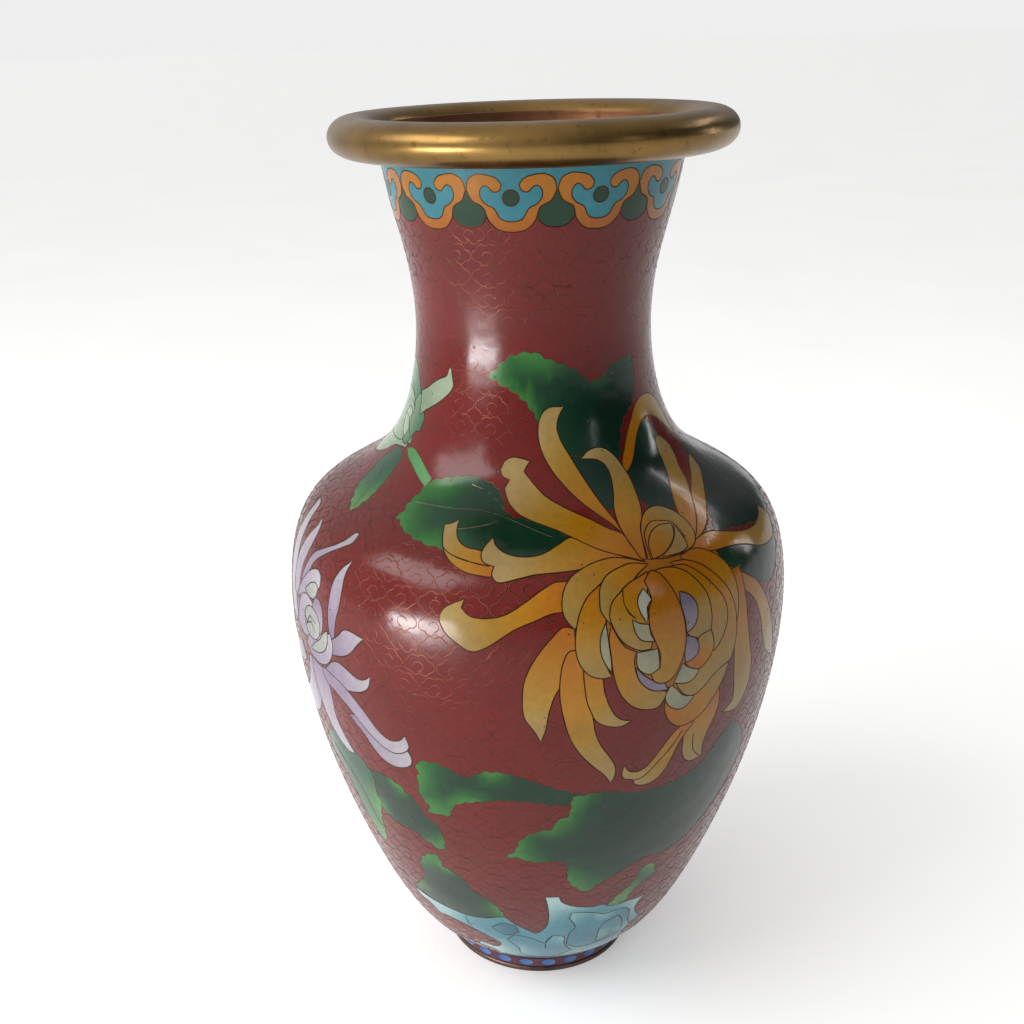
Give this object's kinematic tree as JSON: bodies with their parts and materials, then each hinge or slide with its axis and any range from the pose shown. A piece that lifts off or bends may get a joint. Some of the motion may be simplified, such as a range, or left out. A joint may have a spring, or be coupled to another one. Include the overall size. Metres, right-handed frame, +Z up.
{
  "type": "cloisonne vase",
  "caption": "Tall baluster vase for flowers or display: enamelled copper body with inlaid floral motifs, brass rim ring and brass foot ring, open at the mouth.",
  "frame": {"origin": "centre of the foot, on the surface the vase stands on", "axes": "+Z up along the vase's axis, -Y towards the side with the yellow flower"},
  "size_m": [0.1462, 0.1461, 0.26],
  "materials": {
    "brass": "worn, softly polished",
    "copper": "bare, oxidised",
    "red_enamel": "polished glass enamel",
    "turquoise_enamel": "polished glass enamel",
    "amber_enamel": "polished glass enamel",
    "dark_green_enamel": "polished glass enamel",
    "leaf_green_enamel": "polished glass enamel",
    "yellow_enamel": "polished glass enamel",
    "lilac_enamel": "polished glass enamel",
    "rose_enamel": "polished glass enamel",
    "pale_green_enamel": "polished glass enamel",
    "rock_blue_enamel": "polished glass enamel"
  },
  "bodies": {
    "root": {"base_plate": "copper", "belly_shell": "copper", "broad_leaf": "leaf_green_enamel", "bud": "pale_green_enamel", "bud_leaf": "leaf_green_enamel", "bud_stem": "leaf_green_enamel", "edge_leaf": "leaf_green_enamel", "far_leaf": "dark_green_enamel", "foot_band_enamel": "red_enamel", "foot_ring": "brass", "foot_wire": "brass", "front_rock": "rock_blue_enamel", "green_drop_01": "dark_green_enamel", "green_drop_02": "dark_green_enamel", "green_drop_03": "dark_green_enamel", "green_drop_04": "dark_green_enamel", "green_drop_05": "dark_green_enamel", "green_drop_06": "dark_green_enamel", "green_drop_07": "dark_green_enamel", "green_drop_08": "dark_green_enamel", "green_drop_09": "dark_green_enamel", "green_drop_10": "dark_green_enamel", "green_drop_11": "dark_green_enamel", "inner_leaf": "dark_green_enamel", "left_leaf": "leaf_green_enamel", "lilac_chrysanthemum": "lilac_enamel", "lower_leaf": "leaf_green_enamel", "neck_border_enamel": "turquoise_enamel", "neck_shell": "copper", "rear_chrysanthemum": "rose_enamel", "rear_leaf_a": "leaf_green_enamel", "rear_leaf_b": "leaf_green_enamel", "rear_leaf_c": "dark_green_enamel", "rear_rock": "rock_blue_enamel", "red_ground_enamel": "red_enamel", "right_leaf": "dark_green_enamel", "rim_ring": "brass", "rock_leaf": "leaf_green_enamel", "ruyi_head_01": "amber_enamel", "ruyi_head_02": "amber_enamel", "ruyi_head_03": "amber_enamel", "ruyi_head_04": "amber_enamel", "ruyi_head_05": "amber_enamel", "ruyi_head_06": "amber_enamel", "ruyi_head_07": "amber_enamel", "ruyi_head_08": "amber_enamel", "ruyi_head_09": "amber_enamel", "ruyi_head_10": "amber_enamel", "ruyi_head_11": "amber_enamel", "shoulder_shell": "copper", "side_leaf": "leaf_green_enamel", "upper_leaf": "dark_green_enamel", "yellow_chrysanthemum": "yellow_enamel"}
  },
  "joints": []
}
